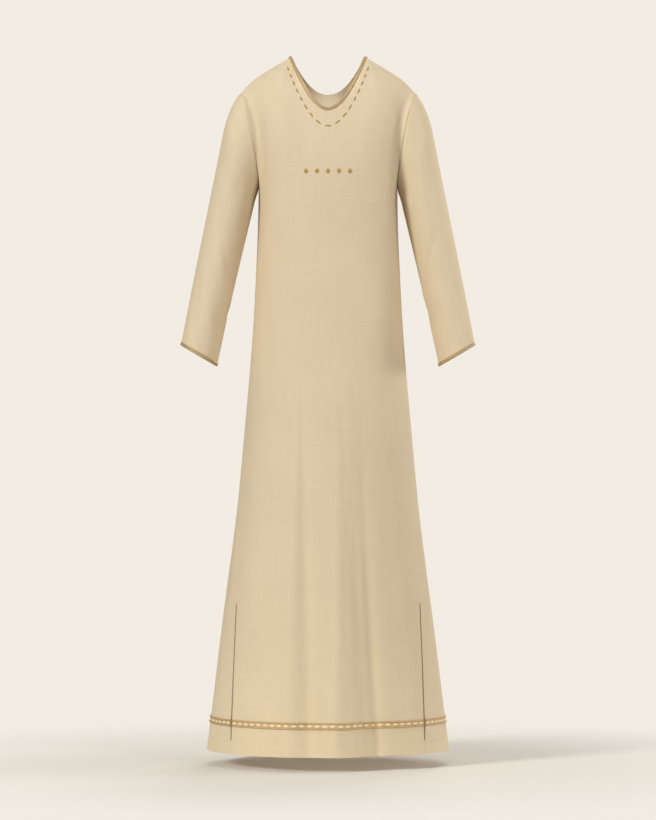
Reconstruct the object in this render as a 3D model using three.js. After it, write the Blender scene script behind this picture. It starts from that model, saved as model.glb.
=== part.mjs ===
// A full-length abaya with a closed front, long set-in sleeves, a scooped neck and two vents in
// the front of the skirt. It is filled out as a wearer fills it, and hollow. Millimetres, +Z up:
// the front faces -Y and +X is the wearer's left. The origin lies midway between the two neck
// points, where the shoulder seams meet the neckline.
import * as THREE from "three";

const { lerp, clamp, degToRad, radToDeg } = THREE.MathUtils;
const vec = (x, y, z) => new THREE.Vector3(x, y, z);

// Sizes of the whole garment.
const LENGTH = 1420; // neck point to hem
const CLOTH = 1.6; // wall of the cloth
const SEAM_GAP = 0.3; // between pieces that meet at a seam
const TRIM_GAP = 0.3; // between a trim and the cloth under it
const WAIST_Z = -430; // the level sections end here and the shaped bodice begins
const FACING = { front: -1, back: 1 };

// Neckline of each panel: its drop below the neck points, its reach at the centre and the power
// of its curve, where 2 is a parabola.
const NECKLINES = {
  front: { drop: 113, reach: 88, power: 1.8 },
  back: { drop: 73, reach: 80, power: 2.1 },
};
const NECK_ROUNDNESS = 2.4; // power of the neckline's curve as seen from above

// Shoulder seam, from the neck point to the shoulder tip, on the wearer's left.
const SHOULDER_SEAM = [
  { share: 0, x: 75, y: 8, z: 0 },
  { share: 0.33, x: 112, y: 6, z: -22 },
  { share: 0.68, x: 152, y: 3, z: -48 },
  { share: 1, x: 181, y: 0, z: -77 },
];
const NECK_POINT = SHOULDER_SEAM[0];
const SHOULDER_TIP = SHOULDER_SEAM.at(-1);
const ARMPIT = { x: 143, z: -275 };
const ARMHOLE_REACH = { front: 58, back: 56 };
const ARMHOLE_BOW = 9; // how far the middle of the armhole bends towards the chest

// Angles round the body, in degrees from the centre line, at which the top edge changes.
const NECK_TURN = 30; // neckline up to here, then shoulder seam
const SHOULDER_TURN = 58; // shoulder seam up to here, then armhole
const SIDE_TURN = 90; // side seam

// Level sections of the body, from the hem up. Squareness 2 is an ellipse.
const SECTIONS = [
  { z: -LENGTH, halfWidth: 248, front: 209, back: 200, squareness: 2 },
  { z: -1190, halfWidth: 219.5, front: 186, back: 180, squareness: 2 },
  { z: -945, halfWidth: 188, front: 160, back: 157, squareness: 2 },
  { z: -740, halfWidth: 168.5, front: 141, back: 139, squareness: 2.06 },
  { z: -620, halfWidth: 158, front: 130, back: 127, squareness: 2.12 },
  { z: -520, halfWidth: 151, front: 123, back: 114, squareness: 2.18 },
  { z: WAIST_Z, halfWidth: 147, front: 120, back: 105, squareness: 2.22 },
];

// Which way the cloth heads as it reaches the top edge, as shares of the distance it has run:
// away from the centre line, back over the shoulder and up.
const TOP_EDGE_RUN = [
  { turn: 0, outward: 0, over: 0.45, up: 1 },
  { turn: 15, outward: -0.3, over: 0.55, up: 0.95 },
  { turn: NECK_TURN, outward: -0.3, over: 0.92, up: 0.55 },
  { turn: 44, outward: 0, over: 0.86, up: 0.32 },
  { turn: SHOULDER_TURN, outward: 0.45, over: 0.65, up: 0.15 },
  { turn: 66, outward: 0.5, over: 0.35, up: 0.6 },
  { turn: 76, outward: 0.3, over: -0.05, up: 0.9 },
  { turn: SIDE_TURN, outward: 0, over: 0, up: 1 },
];

// Folds of the skirt. Each starts as a point and widens to the hem, as a ridge that falls away
// to a trough: towards +X where depth is positive, and towards -X where it is negative.
const FOLDS = {
  front: [
    { topX: -56.5, topZ: -584, hemX: -59, spread: 25, depth: 3.4 },
    { topX: 20, topZ: -675, hemX: 50, spread: 36, depth: 3.6 },
    { topX: 48.5, topZ: -661, hemX: 57, spread: 41, depth: 3.6 },
    { topX: 60.5, topZ: -649, hemX: 83, spread: 25, depth: 2.8 },
  ],
  back: [
    { topX: 84, topZ: -705, hemX: 118, spread: 30, depth: -3.4 },
    { topX: 26, topZ: -560, hemX: 37, spread: 34, depth: 3.8 },
    { topX: -18, topZ: -640, hemX: -30, spread: 27, depth: -3 },
    { topX: -66, topZ: -610, hemX: -98, spread: 38, depth: 3.8 },
  ],
};
const FOLD_START = 0.1; // share of its width that a fold has at its top

// Vents: a slit in the front of the skirt near each side, from its top to the hem. Its edges
// close up again at the hem.
const VENT = { topZ: -1118, topX: 186.4, hemX: 196.5, gap: 1.6, hemGap: 0.6 };

// Rings of the left sleeve, from the armhole to the cuff: the point furthest from the body, the
// point nearest to it, and the place and reaches of its middle from front to back.
const SLEEVE_RINGS = [
  { outX: SHOULDER_TIP.x, outZ: SHOULDER_TIP.z, inX: ARMPIT.x, inZ: ARMPIT.z, y: 0, front: 58, back: 56 },
  { outX: 198, outZ: -106, inX: 146, inZ: -285, y: 0, front: 62, back: 61 },
  { outX: 210, outZ: -139, inX: 150, inZ: -299, y: -1, front: 65, back: 66 },
  { outX: 217.3, outZ: -172, inX: 154, inZ: -316, y: -1, front: 67, back: 68 },
  { outX: 228, outZ: -225, inX: 160, inZ: -341, y: -2, front: 67, back: 68 },
  { outX: 244, outZ: -305, inX: 172, inZ: -391, y: -4, front: 65, back: 66 },
  { outX: 263, outZ: -400, inX: 189, inZ: -464, y: -10, front: 61, back: 62 },
  { outX: 282, outZ: -497, inX: 208, inZ: -549, y: -21, front: 57, back: 57 },
  { outX: 300, outZ: -593, inX: 226.5, inZ: -636, y: -34, front: 52, back: 51 },
].map((ring, i, rings) => ({ share: i / (rings.length - 1), ...ring }));

// Trims.
const BRAID = { rise: 62, height: 14, thickness: 1.3 }; // rise: from the hem to its middle
const NECK_BINDING = { width: 6, thickness: 1.4 };
const CUFF_BINDING = { width: 6.5, thickness: 1.3 };
const STUD = { count: 5, z: -243, pitch: 22.2, width: 9.6, height: 10.8, rim: 0.9, rise: 2.6 };

// How finely each piece is divided.
const COLUMNS = { front: 12, back: 9, shoulder: 5, armhole: 10 };
const ROWS = { hem: 1, braid: 1, vent: 3, skirt: 7, bodice: 12 };
const SLEEVE_ROWS = 15;
const LAST_SHARE = 0.96; // where the last row but one of the bodice lies, away from the neck

const CLOTH_FINISH = { color: 0xd9c6a6, roughness: 0.85, metalness: 0 };
const THREAD_FINISH = { color: 0xb9975a, roughness: 0.5, metalness: 0.2 };
const STUD_FINISH = { color: 0xb08d4f, roughness: 0.35, metalness: 0.9 };

// A value that runs smoothly between two ends, with the given slopes at each.
function hermite(from, leave, to, arrive, s) {
  const t = 1 - s;
  return t * t * ((1 + 2 * s) * from + s * leave) + s * s * ((1 + 2 * t) * to - t * arrive);
}

// A smooth curve through the rows of a table. It gives every column at a value of the key.
function table(rows, key) {
  const columns = Object.keys(rows[0]).filter((name) => name !== key);
  const slope = (i, name) => {
    const before = rows[Math.max(0, i - 1)];
    const after = rows[Math.min(rows.length - 1, i + 1)];
    return (after[name] - before[name]) / (after[key] - before[key]);
  };
  return (value) => {
    const at = clamp(value, rows[0][key], rows.at(-1)[key]);
    const i = Math.min(rows.length - 2, rows.findLastIndex((row) => row[key] <= at));
    const [low, high] = [rows[i], rows[i + 1]];
    const span = high[key] - low[key];
    const share = (at - low[key]) / span;
    const curve = (name) =>
      hermite(low[name], slope(i, name) * span, high[name], slope(i + 1, name) * span, share);
    return Object.fromEntries(columns.map((name) => [name, curve(name)]));
  };
}

const sectionAt = table(SECTIONS, "z");
const runAt = table(TOP_EDGE_RUN, "turn");
const shoulderAt = table(SHOULDER_SEAM, "share");
const ringAt = table(SLEEVE_RINGS, "share");

// Even steps from one value to another, without the first.
const steps = (from, to, count) =>
  Array.from({ length: count }, (_, i) => lerp(from, to, (i + 1) / count));

// Angle round a level section at which it has the given x.
const turnAt = (x, section) =>
  radToDeg(Math.asin((x / section.halfWidth) ** (section.squareness / 2)));

// One column of each side follows its vent, and the others slide with it. A column's name is
// its angle in the bodice.
const VENT_TURN = lerp(SHOULDER_TURN, SIDE_TURN, 1 / COLUMNS.armhole);

function slidTurn(turn, z) {
  if (z >= WAIST_Z) return turn;
  const below = clamp((VENT.topZ - z) / (VENT.topZ + LENGTH), 0, 1);
  const above = clamp((WAIST_Z - z) / (WAIST_Z - VENT.topZ), 0, 1);
  const section = sectionAt(Math.min(z, VENT.topZ));
  const slid = lerp(VENT_TURN, turnAt(lerp(VENT.topX, VENT.hemX, below), section), above);
  if (turn < VENT_TURN) return (turn * slid) / VENT_TURN;
  return SIDE_TURN - ((SIDE_TURN - turn) * (SIDE_TURN - slid)) / (SIDE_TURN - VENT_TURN);
}

// How far the folds push the cloth out at a place on the skirt.
function foldHeight(panel, x, z) {
  let height = 0;
  for (const fold of FOLDS[panel]) {
    const down = (fold.topZ - z) / (fold.topZ + LENGTH);
    if (down <= 0) continue;
    const size = lerp(FOLD_START, 1, down);
    const across = (x - lerp(fold.topX, fold.hemX, down)) / (fold.spread * size);
    height -= (fold.depth * down * 2 * across) / (1 + across * across);
  }
  return height;
}

// A point of the level part of the body. side is -1 towards -X and 1 towards +X.
function skirtPoint(panel, side, turn, z) {
  const section = sectionAt(z);
  const angle = degToRad(slidTurn(turn, z));
  const power = 2 / section.squareness;
  const x = side * section.halfWidth * Math.sin(angle) ** power;
  const reach = section[panel] + foldHeight(panel, x, z);
  return vec(x, FACING[panel] * reach * Math.max(0, Math.cos(angle)) ** power, z);
}

// The armhole is an ellipse between the shoulder tip and the armpit. Its axis points out of the
// body, and its rise points from the armpit to the shoulder tip.
const ARMHOLE_LENGTH = Math.hypot(SHOULDER_TIP.x - ARMPIT.x, SHOULDER_TIP.z - ARMPIT.z);
const armholeRise = (side) =>
  vec(side * (SHOULDER_TIP.x - ARMPIT.x), 0, SHOULDER_TIP.z - ARMPIT.z).normalize();
const armholeAxis = (side) =>
  vec(side * (SHOULDER_TIP.z - ARMPIT.z), 0, ARMPIT.x - SHOULDER_TIP.x).normalize();

// Degrees round the armhole, from 0 at the shoulder tip to 180 at the armpit.
const armholeDegrees = (turn) => (180 * (turn - SHOULDER_TURN)) / (SIDE_TURN - SHOULDER_TURN);

function armholePoint(panel, side, degrees) {
  const down = (1 - Math.cos(degToRad(degrees))) / 2;
  const bulge = Math.sin(degToRad(degrees));
  const x = lerp(SHOULDER_TIP.x, ARMPIT.x, down) - ARMHOLE_BOW * bulge;
  const y = FACING[panel] * ARMHOLE_REACH[panel] * bulge;
  return vec(side * x, y, lerp(SHOULDER_TIP.z, ARMPIT.z, down));
}

function armholeNormal(panel, side, degrees) {
  const along = Math.cos(degToRad(degrees)) * ARMHOLE_REACH[panel];
  const normal = armholeRise(side).multiplyScalar(along);
  normal.y = (FACING[panel] * Math.sin(degToRad(degrees)) * ARMHOLE_LENGTH) / 2;
  return normal.normalize();
}

// The top edge of a panel: neckline, then shoulder seam, then armhole.
function topEdge(panel, side, turn) {
  if (turn <= NECK_TURN) {
    const { drop, reach, power } = NECKLINES[panel];
    const share = turn / NECK_TURN;
    const y = lerp(FACING[panel] * reach, NECK_POINT.y, share ** NECK_ROUNDNESS);
    return vec(side * NECK_POINT.x * share, y, -drop * (1 - share ** power));
  }
  if (turn <= SHOULDER_TURN) {
    const { x, y, z } = shoulderAt((turn - NECK_TURN) / (SHOULDER_TURN - NECK_TURN));
    return vec(side * x, y, z);
  }
  return armholePoint(panel, side, armholeDegrees(turn));
}

// A column of the bodice, from the waist to the top edge: its ends and its way at each.
function bodiceRun(panel, side, turn) {
  const start = skirtPoint(panel, side, turn, WAIST_Z);
  const end = topEdge(panel, side, turn);
  const reach = start.distanceTo(end);
  const leave = start.clone().sub(skirtPoint(panel, side, turn, WAIST_Z - 5)).setLength(reach);
  const { outward, over, up } = runAt(turn);
  const arrive = vec(side * outward, -FACING[panel] * over, up).multiplyScalar(reach);
  return { start, leave, end, arrive };
}

function bodicePoint({ start, leave, end, arrive }, share) {
  const blend = (axis) => hermite(start[axis], leave[axis], end[axis], arrive[axis], share);
  return vec(blend("x"), blend("y"), blend("z"));
}

// Share of a column at which its last row lies. By the neck that is the binding's lower edge.
function lastShare(panel, side, turn, { arrive }) {
  if (turn > NECK_TURN) return LAST_SHARE;
  const before = Math.min(turn, NECK_TURN - 1);
  const along = topEdge(panel, side, before + 1).sub(topEdge(panel, side, before)).normalize();
  return 1 - NECK_BINDING.width / along.cross(arrive).length();
}

// A point of a sleeve ring. 0 degrees is furthest from the body and 90 is at the front.
function sleevePoint(side, degrees, share) {
  const ring = ringAt(share);
  const across = (1 - Math.cos(degToRad(degrees))) / 2;
  const bulge = Math.sin(degToRad(degrees));
  const nearArmhole = Math.max(0, 1 - (share * (SLEEVE_RINGS.length - 1)) / 2);
  const x = lerp(ring.outX, ring.inX, across) - ARMHOLE_BOW * Math.abs(bulge) * nearArmhole;
  const y = ring.y - bulge * (bulge > 0 ? ring.front : ring.back);
  return vec(side * x, y, lerp(ring.outZ, ring.inZ, across));
}

// A surface has points, triangles between their numbers, and an outward normal at each point.
// Normals come from the triangles, unless a point shares one with the piece across a seam.
function surface(points, faces, seamNormals) {
  const normals = points.map(() => vec(0, 0, 0));
  for (const [a, b, c] of faces) {
    const edge = points[b].clone().sub(points[a]);
    const normal = edge.cross(points[c].clone().sub(points[a]));
    for (const corner of [a, b, c]) normals[corner].add(normal);
  }
  normals.forEach((normal, i) => normal.copy(seamNormals.get(i) ?? normal).normalize());
  return { points, faces, normals };
}

// Triangles between rows of point numbers.
function quads(rows) {
  const faces = [];
  for (let r = 0; r + 1 < rows.length; r += 1) {
    for (let c = 0; c + 1 < rows[r].length; c += 1) {
      const [a, b] = [rows[r][c], rows[r][c + 1]];
      const [d, e] = [rows[r + 1][c], rows[r + 1][c + 1]];
      faces.push([a, b, e], [a, e, d]);
    }
  }
  return faces;
}

// Part of a surface, by rows of its point numbers, as a surface of its own.
function patch(whole, rows) {
  const used = [...new Set(rows.flat())];
  const renumbered = new Map(used.map((old, i) => [old, i]));
  return {
    points: used.map((old) => whole.points[old]),
    normals: used.map((old) => whole.normals[old]),
    faces: quads(rows.map((row) => row.map((old) => renumbered.get(old)))),
  };
}

// A surface made solid. lift is the distance from the surface out to the wall's inner side.
function wall({ points, faces, normals }, thickness, lift) {
  const moved = (distance) => points.map((p, i) => p.clone().addScaledVector(normals[i], distance));
  const count = points.length;
  const edges = new Map();
  const triangles = [];
  for (const [a, b, c] of faces) {
    triangles.push([a, b, c], [a + count, c + count, b + count]);
    for (const [from, to] of [[a, b], [b, c], [c, a]]) {
      if (!edges.delete(`${to} ${from}`)) edges.set(`${from} ${to}`, [from, to]);
    }
  }
  for (const [from, to] of edges.values()) {
    triangles.push([to, from, from + count], [to, from + count, to + count]);
  }
  const geometry = new THREE.BufferGeometry();
  geometry.setFromPoints([...moved(lift + thickness), ...moved(lift)]);
  geometry.setIndex(triangles.flat());
  geometry.computeVertexNormals();
  return geometry;
}

// Angles of the columns of half a panel, from the centre to the side seam.
const halfColumns = (panel) => [
  0,
  ...steps(0, NECK_TURN, COLUMNS[panel]),
  ...steps(NECK_TURN, SHOULDER_TURN, COLUMNS.shoulder),
  ...steps(SHOULDER_TURN, SIDE_TURN, COLUMNS.armhole),
];

// Heights of the rows of a panel, from the hem to the waist.
const BRAID_EDGES = [-0.5, 0.5].map((half) => BRAID.rise + half * BRAID.height - LENGTH);
const SKIRT_HEIGHTS = [
  -LENGTH,
  ...steps(-LENGTH, BRAID_EDGES[0], ROWS.hem),
  ...steps(...BRAID_EDGES, ROWS.braid),
  ...steps(BRAID_EDGES[1], VENT.topZ, ROWS.vent),
  ...steps(VENT.topZ, WAIST_Z, ROWS.skirt),
];
const VENT_ROW = ROWS.hem + ROWS.braid + ROWS.vent;

// The points of a panel, in rows from the hem up, on the seams themselves.
function panelRows(panel, columns) {
  const skirt = (z) => columns.map(({ side, turn }) => skirtPoint(panel, side, turn, z));
  const bodice = columns.map(({ side, turn }) => {
    const run = bodiceRun(panel, side, turn);
    const shares = [...steps(0, lastShare(panel, side, turn, run), ROWS.bodice - 1), 1];
    return shares.map((share) => bodicePoint(run, share));
  });
  const bodiceRows = bodice[0].map((_, r) => bodice.map((column) => column[r]));
  return [...SKIRT_HEIGHTS.map(skirt), ...bodiceRows];
}

// The normal at a seam whose cloth runs across Y, from a direction up along the seam.
const seamNormal = (side, along) => vec(0, side, 0).cross(along.setY(0)).normalize();

// Moves a panel's edges off its seams, and gives the normals that it shares there.
function partSeams(panel, columns, rows) {
  const seamNormals = new Map();
  const [top, clear] = [rows.length - 1, SEAM_GAP / 2];
  const number = (r, c) => r * columns.length + c;
  columns.forEach(({ side, turn }, c) => {
    if (turn === SIDE_TURN) {
      for (let r = 0; r < top; r += 1) {
        const along = rows[r + 1][c].clone().sub(rows[Math.max(0, r - 1)][c]);
        seamNormals.set(number(r, c), seamNormal(side, along));
      }
      rows.forEach((row) => row[c].setY(FACING[panel] * clear));
    }
    if (turn >= SHOULDER_TURN) {
      rows[top][c].addScaledVector(armholeAxis(side), -clear);
      seamNormals.set(number(top, c), armholeNormal(panel, side, armholeDegrees(turn)));
    } else if (turn >= NECK_TURN) {
      const along = topEdge(panel, side, turn + 0.1).sub(topEdge(panel, side, turn + 1));
      seamNormals.set(number(top, c), seamNormal(side, along));
    }
    if (turn >= NECK_TURN && turn <= SHOULDER_TURN) rows[top][c].y += FACING[panel] * clear;
  });
  return seamNormals;
}

// Opens the vents along their columns. The strips are the parts of the skirt between them, as
// rows of point numbers, and each strip but the first gets points of its own on its vent.
function openVents(vents, points, rows, strips) {
  vents.forEach((column, i) => {
    for (let r = 0; r < VENT_ROW; r += 1) {
      const open = (r === 0 ? VENT.hemGap : VENT.gap) / 2;
      const across = rows[r][column + 1].clone().sub(rows[r][column - 1]).setLength(open);
      strips[i + 1][r][0] = points.push(rows[r][column].clone().add(across)) - 1;
      rows[r][column].sub(across);
    }
  });
}

// A whole panel, from the hem to the top edge.
function panelSurface(panel) {
  const half = halfColumns(panel);
  const columns = [
    ...half.slice(1).reverse().map((turn) => ({ side: FACING[panel], turn })),
    ...half.map((turn) => ({ side: -FACING[panel], turn })),
  ];
  const rows = panelRows(panel, columns);
  const seamNormals = partSeams(panel, columns, rows);
  const points = rows.flat();
  const numbers = rows.map((row, r) => row.map((_, c) => r * columns.length + c));
  const vents = panel === "front" ? [COLUMNS.armhole - 1, columns.length - COLUMNS.armhole] : [];
  const stops = [0, ...vents, columns.length - 1];
  const strips = stops.slice(1).map((to, i) =>
    numbers.slice(0, VENT_ROW + 1).map((row) => row.slice(stops[i], to + 1)));
  openVents(vents, points, rows, strips);
  const faces = [...strips.flatMap(quads), ...quads(numbers.slice(VENT_ROW))];
  return { ...surface(points, faces, seamNormals), columns, numbers, strips };
}

// A whole sleeve, from the armhole to the cuff, with the rows of its point numbers.
function sleeveSurface(side) {
  const count = 2 * COLUMNS.armhole;
  const [elbow, cuff] = SLEEVE_RINGS.slice(-2);
  const lastStretch = Math.hypot(cuff.outX - elbow.outX, cuff.outZ - elbow.outZ);
  const bindingShare = CUFF_BINDING.width / lastStretch / (SLEEVE_RINGS.length - 1);
  const shares = [0, ...steps(0, 1 - bindingShare, SLEEVE_ROWS), 1];
  const turns = Array.from({ length: count }, (_, c) => (360 * c) / count);
  const points = shares.flatMap((share) =>
    turns.map((degrees) => sleevePoint(side, side * degrees, share)));
  const seamNormals = new Map();
  turns.forEach((degrees, c) => {
    points[c].addScaledVector(armholeAxis(side), SEAM_GAP / 2);
    const panel = Math.sin(degToRad(side * degrees)) > 0 ? "front" : "back";
    seamNormals.set(c, armholeNormal(panel, side, Math.min(degrees, 360 - degrees)));
  });
  const rows = shares.map((_, r) => [...turns, 0].map((_, c) => r * count + (c % count)));
  return { ...surface(points, quads(rows), seamNormals), rows };
}

// The binding along the neckline of a panel, over its last two rows.
function neckBinding(panel) {
  const from = panel.columns.findIndex(({ turn }) => turn <= NECK_TURN);
  const rows = panel.numbers.slice(-2).map((row) => row.slice(from, -from));
  return wall(patch(panel, rows), NECK_BINDING.thickness, TRIM_GAP);
}

// A diamond-shaped stud with a rim and a low point, standing on the chest.
function stud(index, chest) {
  const x = (index - (STUD.count - 1) / 2) * STUD.pitch;
  const ray = new THREE.Raycaster(vec(x, -LENGTH, STUD.z), vec(0, 1, 0));
  const { point, normal } = ray.intersectObject(chest)[0];
  const profile = [[0, 0], [1, 0], [1, STUD.rim], [0, STUD.rise]];
  const geometry = new THREE.LatheGeometry(profile.map((p) => new THREE.Vector2(...p)), 4);
  geometry.scale(STUD.width / 2, 1, STUD.height / 2);
  const piece = mesh(`stud_${index + 1}`, geometry, STUD_FINISH);
  const across = normal.clone().cross(vec(0, 0, 1)).normalize();
  const up = across.clone().cross(normal);
  piece.quaternion.setFromRotationMatrix(new THREE.Matrix4().makeBasis(across, normal, up));
  piece.position.copy(point).addScaledVector(normal, TRIM_GAP);
  return piece;
}

function mesh(name, geometry, finish) {
  const piece = new THREE.Mesh(geometry, new THREE.MeshStandardMaterial(finish));
  piece.name = name;
  return piece;
}

const garment = new THREE.Group();
const panels = { front: panelSurface("front"), back: panelSurface("back") };
for (const [name, panel] of Object.entries(panels)) {
  garment.add(mesh(name, wall(panel, CLOTH, -CLOTH), CLOTH_FINISH));
}

const braidRows = [ROWS.hem, ROWS.hem + ROWS.braid + 1];
const braidNames = { front: ["side_right", "front", "side_left"], back: ["back"] };
for (const [name, panel] of Object.entries(panels)) {
  panel.strips.forEach((strip, i) => {
    const braid = patch(panel, strip.slice(...braidRows));
    const geometry = wall(braid, BRAID.thickness, TRIM_GAP);
    garment.add(mesh(`hem_braid_${braidNames[name][i]}`, geometry, THREAD_FINISH));
  });
}

for (const [name, side] of [["left", 1], ["right", -1]]) {
  const sleeve = sleeveSurface(side);
  const binding = wall(patch(sleeve, sleeve.rows.slice(-2)), CUFF_BINDING.thickness, TRIM_GAP);
  garment.add(mesh(`sleeve_${name}`, wall(sleeve, CLOTH, -CLOTH), CLOTH_FINISH));
  garment.add(mesh(`cuff_binding_${name}`, binding, THREAD_FINISH));
}

garment.add(mesh("neck_binding", neckBinding(panels.front), THREAD_FINISH));
const chest = garment.children.find((piece) => piece.name === "front");
for (let index = 0; index < STUD.count; index += 1) garment.add(stud(index, chest));

export default garment;
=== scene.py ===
import math

import bpy
import numpy as np
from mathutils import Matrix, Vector
from mathutils.bvhtree import BVHTree


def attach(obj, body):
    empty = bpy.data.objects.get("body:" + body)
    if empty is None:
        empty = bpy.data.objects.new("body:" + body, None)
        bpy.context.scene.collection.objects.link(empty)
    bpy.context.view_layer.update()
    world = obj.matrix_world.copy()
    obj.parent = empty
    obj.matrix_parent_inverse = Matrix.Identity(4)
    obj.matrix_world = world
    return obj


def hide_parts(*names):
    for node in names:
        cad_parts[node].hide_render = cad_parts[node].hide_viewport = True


# A closed-front abaya, filled out as a wearer fills it. Garment sizes are in millimetres, +Z is up,
# the front faces -Y and +X is the wearer's left. Blender works in metres, so meshes are scaled by mm.
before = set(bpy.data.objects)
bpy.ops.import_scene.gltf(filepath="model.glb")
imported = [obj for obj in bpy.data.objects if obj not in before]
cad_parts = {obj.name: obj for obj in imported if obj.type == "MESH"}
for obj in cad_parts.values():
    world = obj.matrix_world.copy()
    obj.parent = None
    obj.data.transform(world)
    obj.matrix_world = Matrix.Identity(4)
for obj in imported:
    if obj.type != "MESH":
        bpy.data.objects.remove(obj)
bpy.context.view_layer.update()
mm = 0.001
print("frame loaded")


def linear(hexColour):  # an sRGB hex colour as linear light
    channels = [int(hexColour[i:i + 2], 16) / 255 for i in (1, 3, 5)]
    return [c / 12.92 if c <= 0.04045 else ((c + 0.055) / 1.055) ** 2.4 for c in channels] + [1.0]


def addNode(tree, kind, inputs=None, **settings):  # a node with its settings, values and links
    node = tree.nodes.new(kind)
    for name, value in settings.items():
        setattr(node, name, value)
    for socket, value in (inputs or {}).items():
        if isinstance(value, bpy.types.NodeSocket):
            tree.links.new(value, node.inputs[socket])
        else:
            node.inputs[socket].default_value = value
    return node


def newMaterial(name):
    material = bpy.data.materials.new(name)
    material.use_nodes = True
    material.node_tree.nodes.clear()
    return material, material.node_tree


def meshPiece(name, points, faces, material, uv=None, node=None):
    mesh = bpy.data.meshes.new(name)
    mesh.from_pydata((np.asarray(points) * mm).tolist(), [], [list(map(int, face)) for face in faces])
    mesh.validate()
    if uv is not None:  # thread directions, in metres
        layer = mesh.uv_layers.new(name="thread")
        corners = np.empty(len(mesh.loops), int)
        mesh.loops.foreach_get("vertex_index", corners)
        layer.data.foreach_set("uv", (np.asarray(uv)[corners] * mm).ravel())
    mesh.shade_smooth()
    mesh.materials.append(material)
    piece = bpy.data.objects.new(name, mesh)
    bpy.context.scene.collection.objects.link(piece)
    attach(piece, "root")
    if node:
        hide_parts(node)
    return piece


studio = dict(
    distance=8000,  # camera to the garment's middle
    eyeZ=-726,
    frameHeight=1681,  # height of the view at that distance
    sensorWidth=36,
    floorZ=-1450,  # the hem hangs just clear of the floor
    floorRadius=4200,
    floorSides=96,
    floorFade=(0.38, 1.25),  # metres from the middle, between which the floor fades out
    paper="#f2ece3",  # backdrop seen by the camera
    floor="#e9e4da",
    skyTint="#fdfbf8",
    ambient=0.29,  # soft light from all round
)
bodyMiddle = (0, 0, studio["eyeZ"] * mm)
underHem = (0, 0, studio["floorZ"] * mm)
areaLamps = [  # name, place, what it aims at, size in metres, power
    ("key", (-4.8, -4.4, 1.5), bodyMiddle, 1.5, 300),
    ("fill", (4.6, -6.9, 0.0), bodyMiddle, 2.4, 166),
    ("side", (6.4, 0.9, 0.4), bodyMiddle, 2.4, 142),
    ("top", (0, -0.4, 3.2), underHem, 2.2, 40),
    ("rear", (1.5, 5.5, 1.4), bodyMiddle, 3.4, 150),
    ("glow inside the skirt", (0, 0, -1.0), underHem, 0.25, 0.27),
]
spotLamps = [  # name, place, what it aims at, degrees across, size in metres, power
    ("neck lamp", (0, -1.6, 0.75), (0, 0.07, -0.1), 4.1, 0.02, 195),  # through the neckline to the back
    ("chest lamp", (3.0, -1.6, 0.15), (0.13, -0.05, -0.42), 19, 0.35, 80),  # past the left sleeve
]


def placeLamp(name, data, place, target):
    lamp = bpy.data.objects.new(name, data)
    lamp.location = place
    lamp.visible_camera = False
    lamp.rotation_euler = (Vector(target) - lamp.location).to_track_quat("-Z", "Y").to_euler()
    bpy.context.scene.collection.objects.link(lamp)


def makeStudio():
    scene = bpy.context.scene
    scene.view_settings.view_transform = "Standard"
    data = bpy.data.cameras.new("camera")
    data.sensor_width = studio["sensorWidth"]
    data.lens = data.sensor_width * studio["distance"] / studio["frameHeight"]
    camera = bpy.data.objects.new("camera", data)
    camera.location = (0, -studio["distance"] * mm, studio["eyeZ"] * mm)
    camera.rotation_euler = (math.radians(90), 0, 0)
    scene.collection.objects.link(camera)
    scene.camera = camera

    for name, place, target, size, power in areaLamps:
        data = bpy.data.lights.new(name, "AREA")
        data.size, data.energy = size, power
        placeLamp(name, data, place, target)
    for name, place, target, angle, size, power in spotLamps:
        data = bpy.data.lights.new(name, "SPOT")
        data.shadow_soft_size, data.energy = size, power
        data.spot_size, data.spot_blend = math.radians(angle), 1.0
        placeLamp(name, data, place, target)

    world = bpy.data.worlds.new("paper backdrop")
    scene.world = world
    world.use_nodes = True
    tree = world.node_tree
    tree.nodes.clear()
    path = addNode(tree, "ShaderNodeLightPath")
    seen = addNode(tree, "ShaderNodeBackground", {"Color": linear(studio["paper"]), "Strength": 1.0})
    lit = addNode(tree, "ShaderNodeBackground", {
        "Color": linear(studio["skyTint"]), "Strength": studio["ambient"]})
    both = addNode(tree, "ShaderNodeMixShader",
                   {0: path.outputs["Is Camera Ray"], 1: lit.outputs[0], 2: seen.outputs[0]})
    addNode(tree, "ShaderNodeOutputWorld", {"Surface": both.outputs[0]})

    # A round floor of pale paper that fades out towards its rim, so no horizon shows.
    count, radius = studio["floorSides"], studio["floorRadius"]
    turns = [2 * math.pi * i / count for i in range(count)]
    rim = [(radius * math.cos(turn), radius * math.sin(turn), studio["floorZ"]) for turn in turns]
    mesh = bpy.data.meshes.new("floor")
    mesh.from_pydata((np.array(rim) * mm).tolist(), [], [list(range(count))])
    floor = bpy.data.objects.new("floor", mesh)
    scene.collection.objects.link(floor)
    material, tree = newMaterial("matt floor paper")
    place = addNode(tree, "ShaderNodeTexCoord")
    flat = addNode(tree, "ShaderNodeVectorMath", {
        0: place.outputs["Object"], 1: (1, 1, 0)}, operation="MULTIPLY")
    outwards = addNode(tree, "ShaderNodeVectorMath", {0: flat.outputs[0]}, operation="LENGTH")
    fade = addNode(tree, "ShaderNodeMapRange", {
        "Value": outwards.outputs["Value"],
        "From Min": studio["floorFade"][0], "From Max": studio["floorFade"][1],
    }, interpolation_type="SMOOTHSTEP")
    paper = addNode(tree, "ShaderNodeBsdfDiffuse", {"Color": linear(studio["floor"])})
    clear = addNode(tree, "ShaderNodeBsdfTransparent")
    both = addNode(tree, "ShaderNodeMixShader",
                   {0: fade.outputs[0], 1: paper.outputs[0], 2: clear.outputs[0]})
    addNode(tree, "ShaderNodeOutputMaterial", {"Surface": both.outputs[0]})
    mesh.materials.append(material)


makeStudio()
print("studio made")


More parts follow.
